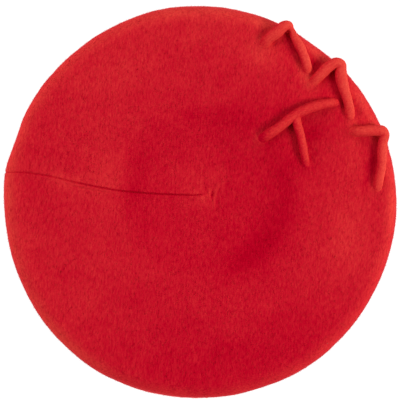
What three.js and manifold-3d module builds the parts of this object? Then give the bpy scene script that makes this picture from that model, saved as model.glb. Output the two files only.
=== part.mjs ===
/**
 * A felted knit beret that lies flat on its head opening. The crown is one hollow felt shell. Three
 * felt cords loop over its rim, and a cord bar with a cord leg lies on the crown inside them.
 *
 * Millimetres, +Z up. The resting plane is z = 0 and the origin is under the middle of the beret.
 * The cords lie in the +X +Y quarter, and the crown's only seam runs from the gathered centre out to
 * the rim at -X.
 */
import * as THREE from "three";
import { mergeVertices } from "three/addons/utils/BufferGeometryUtils.js";
import Module from "manifold-3d";

// ---- Overall sizes ------------------------------------------------------------------------------
const RIM_RADIUS = 140; // an 11 inch beret lying flat
const WALL = 2.4; // fulled wool felt
const CREST_HEIGHT = 31.5; // the highest ring of the crown, between the dish and the rim
const GATHER = { x: 8.3, y: 6.4 }; // the puckered centre where the knitting ends, off the beret's middle
const PIECE_GAP = 0.35; // clearance between a cord and what it lies on

// ---- The crown's section, from the centre outwards ----------------------------------------------
const DISH = { depth: 4.6, floorRadius: 24, edgeRadius: 68 }; // the top sags over the head opening
const SHOULDER = { drop: 0.8, from: 84, to: 124 };
const PUCKER = { depth: 1.2, spread: 5 };
const RIM_ROLL = { width: 10, edgeHeight: 14.5 }; // a half ellipse from the top round to the underside
const ROLL_START = RIM_RADIUS - RIM_ROLL.width;
const MOUTH_RADIUS = 78; // the relaxed head opening, 49 cm round

// ---- The seam -----------------------------------------------------------------------------------
const SEAM = { angle: 171.3, depth: 0.9, halfWidth: 1.8, nearEnd: 10, blend: 26 };
// How far the seam leaves the straight line from the gathered centre to the rim, at each radius.
const SEAM_BOW = [
  { radius: 0, shift: 0 },
  { radius: 10, shift: -2.9 },
  { radius: 25, shift: -4.6 },
  { radius: 45, shift: -6.2 },
  { radius: 65, shift: -6.6 },
  { radius: 80, shift: -5.3 },
  { radius: 95, shift: -3.4 },
  { radius: 110, shift: -0.6 },
  { radius: 125, shift: 0.8 },
  { radius: 140, shift: 0 },
];

// ---- Uneven felt --------------------------------------------------------------------------------
// Where the rim runs outside or inside its circle, in degrees anticlockwise from +X.
const RIM_SWELLS = [
  { angle: 40, out: -0.3, spread: 7 },
  { angle: 53, out: -1.7, spread: 9 },
  { angle: 78, out: -0.5, spread: 8 },
  { angle: 101, out: 0.8, spread: 10 },
  { angle: 161, out: -1.1, spread: 6 },
  { angle: 172, out: 1.1, spread: 6 },
  { angle: 187, out: -0.8, spread: 6 },
  { angle: 232, out: 0.9, spread: 17 },
  { angle: 254, out: 0.5, spread: 7 },
  { angle: 282, out: -0.6, spread: 15 },
  { angle: 332, out: -0.5, spread: 6 },
  { angle: 356, out: 0.6, spread: 6 },
];
// Broad soft hollows and swells of the crown's top. turn is the long direction, in degrees from +X.
const DENTS = [
  { name: "right of the dish", x: 44, y: -12, rise: -1.4, along: 34, across: 15, turn: 75 },
  { name: "left of the dish", x: -46, y: 22, rise: -0.9, along: 26, across: 9, turn: 95 },
  { name: "under the seam's end", x: -116, y: 14, rise: -1.3, along: 14, across: 6, turn: -8 },
  { name: "beside the leg", x: 84, y: 50, rise: -1.4, along: 14, across: 9, turn: 100 },
  { name: "right swell", x: 88, y: -20, rise: 0.9, along: 30, across: 12, turn: 80 },
  { name: "lower swell", x: 30, y: -82, rise: 0.8, along: 32, across: 11, turn: 15 },
  { name: "upper swell", x: 8, y: 92, rise: 0.8, along: 18, across: 10, turn: 100 },
];

// ---- Felt cords ---------------------------------------------------------------------------------
const CORD = { radius: 3.4, sides: 12, step: 4.2 };
const LEG_RADIUS = 2.9;
const DRAPE_RADIUS = 130; // past this the cords stop following the crown and stand out over the rim
const REST = CORD.radius + PIECE_GAP; // a cord's middle above the felt that it lies on
const LEG_REST = LEG_RADIUS + PIECE_GAP;
const SUNK = -CORD.radius - 2; // a cord's middle where it is inside the felt
// Each row is a point of the cord's middle line: its plan position and its lift above the crown's felt.
const CORDS = {
  edge_loop_back: {
    radius: CORD.radius,
    route: [
      { x: 39.5, y: 107.2, lift: SUNK },
      { x: 45.3, y: 112.4, lift: -0.4 },
      { x: 49.4, y: 116.1, lift: 2.2 },
      { x: 54.6, y: 120.4, lift: REST },
      { x: 59.2, y: 123.9, lift: REST },
      { x: 63.4, y: 124.3, lift: REST },
      { x: 66.4, y: 119.2, lift: 3.2 },
      { x: 69.6, y: 112.4, lift: 3.4 },
      { x: 72.8, y: 106.2, lift: REST },
      { x: 75.2, y: 99.8, lift: 2.6 },
      { x: 76.6, y: 93.4, lift: -1.4 },
      { x: 77.1, y: 88.2, lift: SUNK },
    ],
  },
  edge_loop_middle: {
    radius: CORD.radius,
    route: [
      { x: 74.5, y: 79.8, lift: SUNK },
      { x: 79.8, y: 85.0, lift: -0.4 },
      { x: 84.2, y: 89.5, lift: 2.3 },
      { x: 90.2, y: 95.3, lift: REST },
      { x: 95.2, y: 98.6, lift: REST },
      { x: 99.6, y: 98.0, lift: REST },
      { x: 101.4, y: 93.4, lift: 3.2 },
      { x: 101.6, y: 87.0, lift: 3.0 },
      { x: 103.0, y: 79.5, lift: REST },
      { x: 104.9, y: 72.2, lift: 3.0 },
      { x: 106.1, y: 64.0, lift: 0.8 },
      { x: 106.3, y: 54.8, lift: SUNK },
    ],
  },
  edge_loop_front: {
    radius: CORD.radius,
    route: [
      { x: 101.0, y: 49.6, lift: SUNK },
      { x: 107.3, y: 49.9, lift: -0.4 },
      { x: 112.0, y: 50.2, lift: 2.4 },
      { x: 118.0, y: 50.6, lift: REST },
      { x: 124.0, y: 51.0, lift: REST },
      { x: 129.0, y: 50.6, lift: REST },
      { x: 131.2, y: 47.0, lift: 3.4 },
      { x: 130.6, y: 41.0, lift: 3.0 },
      { x: 129.4, y: 33.0, lift: 2.8 },
      { x: 128.2, y: 25.0, lift: 2.4 },
      { x: 126.8, y: 17.5, lift: 0.4 },
      { x: 124.7, y: 9.6, lift: SUNK },
    ],
  },
  inner_bar: {
    radius: CORD.radius,
    route: [
      { x: 40.6, y: 44.0, lift: SUNK },
      { x: 46.4, y: 47.6, lift: -0.4 },
      { x: 50.5, y: 50.1, lift: 2.3 },
      { x: 56.6, y: 53.9, lift: REST },
      { x: 63.5, y: 59.4, lift: REST },
      { x: 70.8, y: 64.0, lift: REST },
      { x: 78.0, y: 67.1, lift: REST },
      { x: 85.0, y: 69.1, lift: 3.3 },
      { x: 91.3, y: 70.1, lift: 2.0 },
      { x: 96.2, y: 70.5, lift: -0.8 },
      { x: 101.0, y: 70.6, lift: SUNK },
    ],
  },
  inner_leg: {
    radius: LEG_RADIUS,
    route: [
      { x: 68.6, y: 62.3, lift: LEG_REST },
      { x: 69.8, y: 55.2, lift: LEG_REST },
      { x: 71.4, y: 48.0, lift: LEG_REST },
      { x: 73.0, y: 40.8, lift: LEG_REST },
      { x: 74.3, y: 33.6, lift: 2.2 },
      { x: 75.4, y: 27.8, lift: 0.0 },
      { x: 76.6, y: 19.8, lift: SUNK },
    ],
  },
};

// ---- Mesh fineness ------------------------------------------------------------------------------
const EDGE_LENGTH = 9.5; // target length of a facet's side round the crown
const FEWEST_SIDES = 12;
const MOST_SIDES = 96;
const OUTER_TOP_RADII = [5, 10, 17, 25, 34, 43, 52, 61, 71, 82, 93, 103, 111, 119, ROLL_START];
const INNER_TOP_RADII = [ROLL_START, 112, 94, 74, 54, 34, 15];
const OUTER_ROLL_ANGLES = [72, 55, 38, 20, 2, -22, -46, -68, -90];
const INNER_ROLL_ANGLES = [-90, -55, -20, 15, 45, 68];
const DRIFT_PASSES = 6; // steps that find a plan point's ring to well under 0.01 mm

// ---- Colours ------------------------------------------------------------------------------------
const CROWN_FELT = { color: 0xc41627, roughness: 0.95, metalness: 0 };
const CORD_FELT = { color: 0xcc2029, roughness: 0.92, metalness: 0 };

const wasm = await Module();
wasm.setup();

/** 0 below from, 1 above to, and a smooth rise between. */
function smooth(from, to, value) {
  return THREE.MathUtils.smoothstep(value, from, to);
}

/** A soft hump: 1 at no distance, falling to nothing past about twice the spread. */
function bell(distance, spread) {
  return Math.exp(-((distance / spread) ** 2));
}

/** The shortest turn from one angle to another, in degrees. */
function turnBetween(from, to) {
  return THREE.MathUtils.euclideanModulo(to - from + 180, 360) - 180;
}

/** The value in a table's column at a radius, on straight lines between its rows. */
function lookUp(rows, column, radius) {
  const last = rows.findIndex((row) => row.radius >= radius);
  if (last <= 0) return rows.at(last)[column];
  const [before, after] = [rows[last - 1], rows[last]];
  const part = (radius - before.radius) / (after.radius - before.radius);
  return THREE.MathUtils.lerp(before[column], after[column], part);
}

/** The height of the crown's outer face at a section radius, before the dents. */
function sectionHeight(radius) {
  const dish = DISH.depth * (1 - smooth(DISH.floorRadius, DISH.edgeRadius, radius));
  const shoulder = SHOULDER.drop * smooth(SHOULDER.from, SHOULDER.to, radius);
  const pucker = PUCKER.depth * bell(radius, PUCKER.spread);
  return CREST_HEIGHT - dish - shoulder - pucker;
}

/** How far the dents lift the crown's top at a plan position. */
function dentHeight(x, y) {
  return DENTS.reduce((height, dent) => {
    const turn = THREE.MathUtils.degToRad(dent.turn);
    const [dx, dy] = [x - dent.x, y - dent.y];
    const along = dx * Math.cos(turn) + dy * Math.sin(turn);
    const across = dy * Math.cos(turn) - dx * Math.sin(turn);
    return height + dent.rise * bell(along, dent.along) * bell(across, dent.across);
  }, 0);
}

/** How far the rim runs outside its circle in one direction. */
function rimSwell(angle) {
  return RIM_SWELLS.reduce(
    (out, swell) => out + swell.out * bell(turnBetween(swell.angle, angle), swell.spread),
    0,
  );
}

/** How far a ring of the top is moved from the rim's centre, 0, to the gathered centre, 1. */
function driftShare(radius) {
  return 1 - Math.min(radius / RIM_RADIUS, 1) ** 2;
}

/** The plan position at a section radius and an angle. topShare is 1 on the top and 0 underneath. */
function planPoint(radius, angle, topShare) {
  const drift = topShare * driftShare(radius);
  const reach = radius + rimSwell(angle) * smooth(MOUTH_RADIUS, ROLL_START, radius);
  const seamNearness = bell(turnBetween(SEAM.angle, angle), SEAM.blend);
  const bow = topShare * lookUp(SEAM_BOW, "shift", radius) * seamNearness;
  const turn = THREE.MathUtils.degToRad(angle);
  return {
    x: reach * Math.cos(turn) + GATHER.x * drift,
    y: reach * Math.sin(turn) + GATHER.y * drift + bow,
  };
}

/** The section radius of a plan position on the top, found by undoing the drift of the rings. */
function sectionRadius(x, y) {
  let radius = Math.hypot(x, y);
  for (let pass = 0; pass < DRIFT_PASSES; pass += 1) {
    const drift = driftShare(radius);
    radius = Math.hypot(x - GATHER.x * drift, y - GATHER.y * drift);
  }
  return radius;
}

/** The felt's height under a cord. Over the rim's roll it stays level. */
function drapeHeight(x, y) {
  return sectionHeight(Math.min(sectionRadius(x, y), DRAPE_RADIUS)) + dentHeight(x, y);
}

/**
 * One ring of the crown's skin, as points with the turn that each stands at, from 0 at the seam to 1.
 * topShare is the share of the top's drift and dents that reaches it, and seam is its groove's depth.
 */
function skinRing(radius, height, { topShare = 0, seam = 0 } = {}) {
  const wanted = Math.round((2 * Math.PI * radius) / EDGE_LENGTH / 4) * 4;
  const sides = THREE.MathUtils.clamp(wanted, FEWEST_SIDES, MOST_SIDES);
  const turns = Array.from({ length: sides }, (_, index) => index / sides);
  if (seam > 0) {
    const flank = SEAM.halfWidth / (2 * Math.PI * radius);
    turns.splice(1, 0, flank);
    turns.push(1 - flank);
  }
  return turns.map((turn) => {
    const { x, y } = planPoint(radius, SEAM.angle + 360 * turn, topShare);
    const groove = turn === 0 ? seam : 0;
    return { turn, point: new THREE.Vector3(x, y, height + topShare * dentHeight(x, y) - groove) };
  });
}

/** The rings of the crown's outer face, from the gathered centre over the rim's edge. */
function outerTopRings() {
  return OUTER_TOP_RADII.map((radius) => {
    const seam = radius >= SEAM.nearEnd ? SEAM.depth : 0;
    return skinRing(radius, sectionHeight(radius), { topShare: 1, seam });
  });
}

/** Rings round the rim's roll, inset by a wall or by nothing. Its two halves are quarters of an ellipse. */
function rollRings(angles, inset) {
  const topHeight = sectionHeight(ROLL_START) - inset;
  return angles.map((angle) => {
    const turn = THREE.MathUtils.degToRad(angle);
    const upper = topHeight - RIM_ROLL.edgeHeight;
    const lower = RIM_ROLL.edgeHeight - inset;
    const radius = ROLL_START + (RIM_ROLL.width - inset) * Math.cos(turn);
    const height = RIM_ROLL.edgeHeight + Math.sin(turn) * (angle > 0 ? upper : lower);
    const topShare = Math.max(Math.sin(turn), 0);
    const seam = inset === 0 ? SEAM.depth * topShare : 0;
    return skinRing(radius, height, { topShare, seam });
  });
}

/** A closed geometry skinned over rings, with a single point before the first and after the last. */
function skinGeometry(firstPole, rings, lastPole) {
  const points = [];
  const faces = [];
  const addRing = (ring) => ring.map(({ turn, point }) => ({ turn, index: points.push(point) - 1 }));
  const layers = [[{ turn: 0, point: firstPole }], ...rings, [{ turn: 0, point: lastPole }]].map(addRing);
  layers.slice(1).forEach((outer, number) => zipRings(layers[number], outer, faces));
  const geometry = new THREE.BufferGeometry().setFromPoints(points);
  geometry.setIndex(faces);
  return geometry;
}

/** Joins two rings with triangles, always stepping along the ring that is behind. */
function zipRings(inner, outer, faces) {
  let [innerStep, outerStep] = [0, 0];
  const turnAfter = (ring, step) => (step + 1 < ring.length ? ring[step + 1].turn : 1);
  const vertex = (ring, step) => ring[step % ring.length].index;
  while (innerStep < inner.length || outerStep < outer.length) {
    const innerDone = innerStep === inner.length || inner.length === 1;
    const outerDone = outerStep === outer.length || outer.length === 1;
    if (innerDone && outerDone) break;
    const outerIsBehind = turnAfter(outer, outerStep) <= turnAfter(inner, innerStep);
    const stepOuter = innerDone || (!outerDone && outerIsBehind);
    const [start, end] = [vertex(inner, innerStep), vertex(outer, outerStep)];
    if (stepOuter) {
      faces.push(start, end, vertex(outer, outerStep + 1));
      outerStep += 1;
    } else {
      faces.push(start, end, vertex(inner, innerStep + 1));
      innerStep += 1;
    }
  }
}

/** A point on the crown's middle line at the gathered centre. */
function pole(height) {
  return new THREE.Vector3(GATHER.x, GATHER.y, height + dentHeight(GATHER.x, GATHER.y));
}

/** The felt shell: over the top, round the rim, under to the head opening, and back inside. */
function crownGeometry() {
  const underside = [skinRing(MOUTH_RADIUS, 0), skinRing(MOUTH_RADIUS, WALL)];
  const insideTop = INNER_TOP_RADII.map((radius) => {
    return skinRing(radius, sectionHeight(radius) - WALL, { topShare: 1 });
  });
  const rings = [
    ...outerTopRings(),
    ...rollRings(OUTER_ROLL_ANGLES, 0),
    ...underside,
    ...rollRings(INNER_ROLL_ANGLES, WALL),
    ...insideTop,
  ];
  return skinGeometry(pole(sectionHeight(0)), rings, pole(sectionHeight(0) - WALL));
}

/** A filled body under the crown's outer face, raised by the gap that every cord keeps to the felt. */
function crownClearance() {
  const upperRoll = OUTER_ROLL_ANGLES.filter((angle) => angle > 0);
  const rings = [...outerTopRings(), ...rollRings(upperRoll, 0)];
  const foot = rings.at(-1).map(({ turn, point }) => ({ turn, point: point.clone().setZ(-PIECE_GAP) }));
  const body = skinGeometry(pole(sectionHeight(0)), [...rings, foot], new THREE.Vector3(0, 0, -PIECE_GAP));
  body.translate(0, 0, PIECE_GAP);
  return solidFrom(body);
}

/** The closed tube of one cord, along a curve through its route. */
function cordTube(route, radius) {
  const points = route.map(({ x, y, lift }) => new THREE.Vector3(x, y, drapeHeight(x, y) + lift));
  const path = new THREE.CatmullRomCurve3(points, false, "centripetal");
  const section = new THREE.Shape();
  section.absarc(0, 0, radius, 0, 2 * Math.PI);
  return new THREE.ExtrudeGeometry(section, {
    steps: Math.ceil(path.getLength() / CORD.step),
    curveSegments: CORD.sides / 2, // a full circle takes two sides for each segment
    bevelEnabled: false,
    extrudePath: path,
  });
}

/** A solid for joining and cutting, from a closed geometry. */
function solidFrom(geometry) {
  const bare = geometry.clone();
  bare.deleteAttribute("normal");
  bare.deleteAttribute("uv");
  const merged = mergeVertices(bare);
  const mesh = new wasm.Mesh({
    numProp: 3,
    vertProperties: Float32Array.from(merged.attributes.position.array),
    triVerts: Uint32Array.from(merged.index.array),
  });
  return new wasm.Manifold(mesh);
}

/** The geometry of a solid. */
function geometryFrom(solid) {
  const { vertProperties, triVerts } = solid.getMesh();
  const geometry = new THREE.BufferGeometry();
  geometry.setAttribute("position", new THREE.BufferAttribute(vertProperties, 3));
  geometry.setIndex(new THREE.BufferAttribute(triVerts, 1));
  return geometry;
}

/** A cord that stops a gap short of the crown, and of another cord where one is given. */
function cordGeometry(name, crown, under) {
  const cord = solidFrom(cordTube(CORDS[name].route, CORDS[name].radius)).subtract(crown);
  if (!under) return geometryFrom(cord);
  const keepOut = solidFrom(cordTube(CORDS[under].route, CORDS[under].radius + PIECE_GAP));
  return geometryFrom(cord.subtract(keepOut));
}

/** A named piece of the beret in its own material. */
function piece(name, geometry, finish) {
  geometry.computeVertexNormals();
  const mesh = new THREE.Mesh(geometry, new THREE.MeshStandardMaterial(finish));
  mesh.name = name;
  return mesh;
}

/** The whole beret, with the middle of its plan box over the origin. */
function buildBeret() {
  const beret = new THREE.Group();
  beret.add(piece("crown", crownGeometry(), CROWN_FELT));
  const clearance = crownClearance();
  Object.keys(CORDS).forEach((name) => {
    const under = name === "inner_leg" ? "inner_bar" : null;
    beret.add(piece(name, cordGeometry(name, clearance, under), CORD_FELT));
  });
  const middle = new THREE.Box3().setFromObject(beret).getCenter(new THREE.Vector3());
  beret.position.set(-middle.x, -middle.y, 0);
  return beret;
}

export default buildBeret();
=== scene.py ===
"""A felted knit beret that lies flat on its head opening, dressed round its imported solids.

The crown is one fulled felt shell with a gathered centre and a single seam. Three felt cords loop over
its rim, and a cord bar with a cord leg lies on the crown inside them. Short fibres stand on all of it.
Forms are worked out in millimetres, and mesh_object turns them into the frame's metres.
"""
import logging
import math
from dataclasses import dataclass, field
from enum import Enum
from typing import Any

import bpy
import numpy as np
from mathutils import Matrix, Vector


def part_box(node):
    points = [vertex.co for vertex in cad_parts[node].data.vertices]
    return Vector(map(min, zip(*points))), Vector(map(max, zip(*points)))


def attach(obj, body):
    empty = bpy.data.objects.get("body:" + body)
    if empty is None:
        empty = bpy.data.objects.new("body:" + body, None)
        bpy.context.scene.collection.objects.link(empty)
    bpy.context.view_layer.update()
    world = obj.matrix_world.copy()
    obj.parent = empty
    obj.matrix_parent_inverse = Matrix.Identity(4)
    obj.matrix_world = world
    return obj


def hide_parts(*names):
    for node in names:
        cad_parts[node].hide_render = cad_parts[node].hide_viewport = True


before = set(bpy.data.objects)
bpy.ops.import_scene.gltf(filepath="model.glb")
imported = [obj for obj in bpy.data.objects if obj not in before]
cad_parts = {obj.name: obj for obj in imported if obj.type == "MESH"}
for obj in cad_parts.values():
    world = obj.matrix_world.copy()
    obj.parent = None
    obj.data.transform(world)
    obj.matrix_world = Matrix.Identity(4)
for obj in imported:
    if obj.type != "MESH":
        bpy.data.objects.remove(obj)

MM = 0.001
# The point attribute that carries each piece's painted shade, painted light and tone.
PAINTED_LIGHT_AND_TONE = "painted_light_and_tone"
CURVE_PARTS = 24
DYE_RANGE = (-0.2, 1.4)
NOISE_MIDDLE = 0.5
Array = np.ndarray
Colour = tuple[float, float, float]
Row = tuple[float, float, float, float]


# ---- Small helpers ----
def smooth(start: float, end: float, value: Array) -> Array:
    """Return 0 for values before start, 1 for values after end, and a smooth rise between."""
    part = np.clip((value - start) / (end - start), 0.0, 1.0)
    return part * part * (3 - 2 * part)


def bell(distance: Array, spread: float) -> Array:
    """Return a soft hump, 1 at no distance and next to nothing past twice the spread."""
    return np.exp(-((distance / spread) ** 2))


def unit(vectors: Array) -> Array:
    """Return the vectors at length 1."""
    return vectors / np.maximum(np.linalg.norm(vectors, axis=-1, keepdims=True), 1e-12)


def turn_between(start: float, end: Array) -> Array:
    """Return the shortest turn from one angle to others, in degrees."""
    return (end - start + 180.0) % 360.0 - 180.0


def scene_object(name: str, data: bpy.types.ID) -> bpy.types.Object:
    """Make an object in the scene.

    Args:
        name: The object's name.
        data: Its mesh, light or camera.

    Returns:
        The new object.
    """
    made = bpy.data.objects.new(name, data)
    bpy.context.scene.collection.objects.link(made)
    return made


def mesh_object(
    name: str, points: Array, faces: list[list[int]], material: bpy.types.Material
) -> bpy.types.Object:
    """Make a smooth-shaded mesh object in the scene.

    Args:
        name: The piece's name.
        points: Its vertices in millimetres.
        faces: Its faces, as vertex numbers.
        material: Its finish.

    Returns:
        The new object.
    """
    mesh = bpy.data.meshes.new(name)
    mesh.from_pydata((points * MM).tolist(), [], faces)
    mesh.validate()
    mesh.shade_smooth()
    mesh.materials.append(material)
    return scene_object(name, mesh)


def store_painted_light_and_tone(made: bpy.types.Object, shade: Array) -> None:
    """Keep a skin's painted shade and light, one value for each point of its rings, for its finish to
    read.
    """
    flat = np.concatenate([shade[0, :1], shade.ravel(), shade[-1, :1]]).astype(np.float32)
    made.data.attributes.new(PAINTED_LIGHT_AND_TONE, "FLOAT", "POINT").data.foreach_set("value", flat)


def curve_through(points: Array, step: float) -> Array:
    """Return even steps along a centripetal curve through points.

    Args:
        points: The points that the curve passes, one in each row. Further columns go with them.
        step: The distance between the points that come back.

    Returns:
        The points along the curve, one in each row.
    """
    padded = np.vstack([2 * points[0] - points[1], points, 2 * points[-1] - points[-2]])
    spans = np.sqrt(np.linalg.norm(np.diff(padded[:, :3], axis=0), axis=1))
    part = np.linspace(0, 1, CURVE_PARTS, endpoint=False)[:, None]
    line = []
    for number in range(1, len(points)):
        before, start, end, after = padded[number - 1 : number + 3]
        first, middle, last = spans[number - 1 : number + 2]
        leaving = (start - before) / first - (end - before) / (first + middle) + (end - start) / middle
        arriving = (end - start) / middle - (after - start) / (middle + last) + (after - end) / last
        leaving, arriving = leaving * middle, arriving * middle
        line.append(
            start
            + leaving * part
            + (3 * (end - start) - 2 * leaving - arriving) * part**2
            + (2 * (start - end) + leaving + arriving) * part**3
        )
    line = np.vstack([*line, points[-1:]])
    along = np.concatenate([[0], np.cumsum(np.linalg.norm(np.diff(line[:, :3], axis=0), axis=1))])
    places = np.linspace(0, along[-1], max(2, round(along[-1] / step)) + 1)
    return np.column_stack([np.interp(places, along, column) for column in line.T])


# ---- Shader graph ----
class Value:
    """A shader value. Arithmetic on it adds Math nodes to its graph."""

    def __init__(self, graph: "ShaderGraph", socket: bpy.types.NodeSocket) -> None:
        """Wrap a socket of a graph."""
        self.graph = graph
        self.socket = socket

    def _math(self, operation: str, first: Any, second: Any) -> "Value":
        """Return the value of a Math node on two values or numbers."""
        made = self.graph.node("ShaderNodeMath", {"operation": operation}, {0: first, 1: second})
        return Value(self.graph, made.outputs[0])

    def __add__(self, other: Any) -> "Value":
        """Return self + other."""
        return self._math("ADD", self, other)

    def __radd__(self, other: Any) -> "Value":
        """Return other + self."""
        return self._math("ADD", other, self)

    def __sub__(self, other: Any) -> "Value":
        """Return self - other."""
        return self._math("SUBTRACT", self, other)

    def __rsub__(self, other: Any) -> "Value":
        """Return other - self."""
        return self._math("SUBTRACT", other, self)

    def __mul__(self, other: Any) -> "Value":
        """Return self * other."""
        return self._math("MULTIPLY", self, other)

    def __rmul__(self, other: Any) -> "Value":
        """Return other * self."""
        return self._math("MULTIPLY", other, self)


class ShaderGraph:
    """The node graph of one material or of the world."""

    def __init__(self, owner: bpy.types.Material | bpy.types.World) -> None:
        """Start an empty graph.

        Args:
            owner: The material or world that it belongs to.
        """
        owner.use_nodes = True
        self.tree = owner.node_tree
        self.tree.nodes.clear()

    def node(self, kind: str, settings: dict[str, Any], inputs: dict[str | int, Any]) -> bpy.types.Node:
        """Add a node, set it up, then give its sockets their values or links.

        Args:
            kind: The node's Blender type.
            settings: The node's own settings by name. They are set first.
            inputs: A value, a Value or a socket for each input, by its name or number.

        Returns:
            The new node.
        """
        made = self.tree.nodes.new(kind)
        for name, setting in settings.items():
            setattr(made, name, setting)
        for key, given in inputs.items():
            source = given.socket if isinstance(given, Value) else given
            if isinstance(source, bpy.types.NodeSocket):
                self.tree.links.new(source, made.inputs[key])
            else:
                made.inputs[key].default_value = source
        return made

    def value(
        self, kind: str, settings: dict[str, Any], inputs: dict[str | int, Any], output: str = "Fac"
    ) -> Value:
        """Add a node and return one output as a value."""
        return Value(self, self.node(kind, settings, inputs).outputs[output])

    def noise(self, place: bpy.types.NodeSocket, size: float, detail: float, bend: float = 0.0) -> Value:
        """Return soft noise at a place, with features of a size."""
        sockets = {"Vector": place, "Scale": 1 / size, "Detail": detail, "Distortion": bend}
        return self.value("ShaderNodeTexNoise", {}, sockets)

    def blended(self, share: Value, first: Any, second: Any) -> bpy.types.NodeSocket:
        """Return a colour between two others.

        Args:
            share: 0 at the first colour and 1 at the second.
            first: A colour or a socket that carries one.
            second: The other colour or socket.

        Returns:
            The socket that carries the colour.
        """
        colours = [(*given, 1.0) if isinstance(given, tuple) else given for given in (first, second)]
        settings = {"data_type": "RGBA", "clamp_factor": False}
        return self.node("ShaderNodeMix", settings, {0: share, 6: colours[0], 7: colours[1]}).outputs[2]

    def dyed(self, share: Value, deep: Colour, middle: Colour, light: Colour) -> bpy.types.NodeSocket:
        """Return a colour that runs from deep, bends towards middle, and reaches light.

        Args:
            share: 0 at deep and 1 at light. It may run a little past both.
            deep: The colour at 0.
            middle: The colour that the run bends towards.
            light: The colour at 1.

        Returns:
            The socket that carries the colour.
        """
        limits = {"Value": share, "Min": DYE_RANGE[0], "Max": DYE_RANGE[1]}
        held = self.value("ShaderNodeClamp", {}, limits, "Result")
        return self.blended(held, self.blended(held, deep, middle), self.blended(held, middle, light))

    def surface(self, sockets: dict[str, Any]) -> None:
        """Finish a material with a Principled shader that has these sockets."""
        shader = self.node("ShaderNodeBsdfPrincipled", {}, sockets)
        self.node("ShaderNodeOutputMaterial", {}, {"Surface": shader.outputs[0]})


# ---- Finishes ----
@dataclass(frozen=True)
class FeltFinish:
    """Fulled wool felt: a combed grain of short streaks over soft clouds of lighter and deeper dye.

    Lengths are in millimetres, and colours are linear.
    """

    name: str
    deep: Colour
    middle: Colour
    light: Colour
    contrast: float = 1.4
    cloud_contrast: float = 0.3
    middle_share: float = 0.44
    nap_turn: float = 85.0
    streak_length: float = 3.6
    streak_width: float = 1.05
    streak_bend: float = 0.4
    streak_detail: float = 3.0
    streak_share: float = 0.65
    fleck_size: float = 0.7
    fleck_detail: float = 2.0
    cloud_size: float = 16.0
    cloud_detail: float = 3.0
    relief: float = 0.27
    relief_streak_share: float = 0.6
    relief_strength: float = 0.48
    roughness: float = 0.93
    roughness_swing: float = 0.10
    sheen: float = 0.7
    sheen_roughness: float = 0.3
    sheen_tint: Colour = (1.0, 0.17, 0.16)
    specular: float = 0.0

    def material(self) -> bpy.types.Material:
        """Make the felt, patterned in the piece's own coordinates.

        Returns:
            The material.
        """
        made = bpy.data.materials.new(self.name)
        graph = ShaderGraph(made)
        place = graph.node("ShaderNodeTexCoord", {}, {}).outputs["Object"]
        vector_math = "ShaderNodeVectorMath"
        metric = graph.node(vector_math, {"operation": "SCALE"}, {0: place, "Scale": 1 / MM}).outputs[0]
        turned = graph.node(
            "ShaderNodeVectorRotate",
            {"rotation_type": "Z_AXIS"},
            {"Vector": metric, "Angle": -math.radians(self.nap_turn)},
        ).outputs[0]
        stretch = (1 / self.streak_length, 1 / self.streak_width, 1 / self.streak_width)
        combed = graph.node(vector_math, {"operation": "MULTIPLY"}, {0: turned, 1: stretch}).outputs[0]
        streaks = graph.noise(combed, 1.0, self.streak_detail, self.streak_bend)
        flecks = graph.noise(metric, self.fleck_size, self.fleck_detail)
        clouds = graph.noise(metric, self.cloud_size, self.cloud_detail)
        grain = streaks * self.streak_share + flecks * (1 - self.streak_share)
        # Painted shade, painted light and tone that the piece keeps at its points.
        painted_light_and_tone = graph.value("ShaderNodeAttribute", {"attribute_name": PAINTED_LIGHT_AND_TONE}, {})
        tufts, dye = grain - NOISE_MIDDLE, clouds - NOISE_MIDDLE
        patterned = tufts * self.contrast + dye * self.cloud_contrast
        shade = patterned + painted_light_and_tone + self.middle_share
        height = streaks * self.relief_streak_share + flecks * (1 - self.relief_streak_share)
        bump_sockets = {"Strength": self.relief_strength, "Distance": self.relief * MM, "Height": height}
        bump = graph.node("ShaderNodeBump", {}, bump_sockets)
        sockets = {
            "Base Color": graph.dyed(shade, self.deep, self.middle, self.light),
            "Roughness": self.roughness + tufts * self.roughness_swing,
            "Normal": bump.outputs[0],
            "Specular IOR Level": self.specular,
            "Sheen Weight": self.sheen,
            "Sheen Roughness": self.sheen_roughness,
            "Sheen Tint": (*self.sheen_tint, 1.0),
        }
        graph.surface(sockets)
        return made


@dataclass(frozen=True)
class FibreFinish:
    """Single wool fibres. They are too fine to carry a pattern, so every socket is a constant."""

    name: str
    colour: Colour
    roughness: float = 0.8
    specular: float = 0.08

    def material(self) -> bpy.types.Material:
        """Make the fibre's finish.

        Returns:
            The material.
        """
        made = bpy.data.materials.new(self.name)
        sockets = {
            "Base Color": (*self.colour, 1.0),
            "Roughness": self.roughness,
            "Specular IOR Level": self.specular,
        }
        ShaderGraph(made).surface(sockets)
        return made


@dataclass(frozen=True)
class SweepFinish:
    """The studio's plain white sweep, lit from below so that next to no shadow shows on it."""

    name: str = "white_sweep"
    colour: Colour = (0.15, 0.15, 0.15)
    roughness: float = 0.9
    glow: float = 0.97

    def material(self) -> bpy.types.Material:
        """Make the sweep's finish.

        Returns:
            The material.
        """
        made = bpy.data.materials.new(self.name)
        sockets = {
            "Base Color": (*self.colour, 1.0),
            "Roughness": self.roughness,
            "Specular IOR Level": 0.0,
            "Emission Color": (1.0, 1.0, 1.0, 1.0),
            "Emission Strength": self.glow,
        }
        ShaderGraph(made).surface(sockets)
        return made


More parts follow.
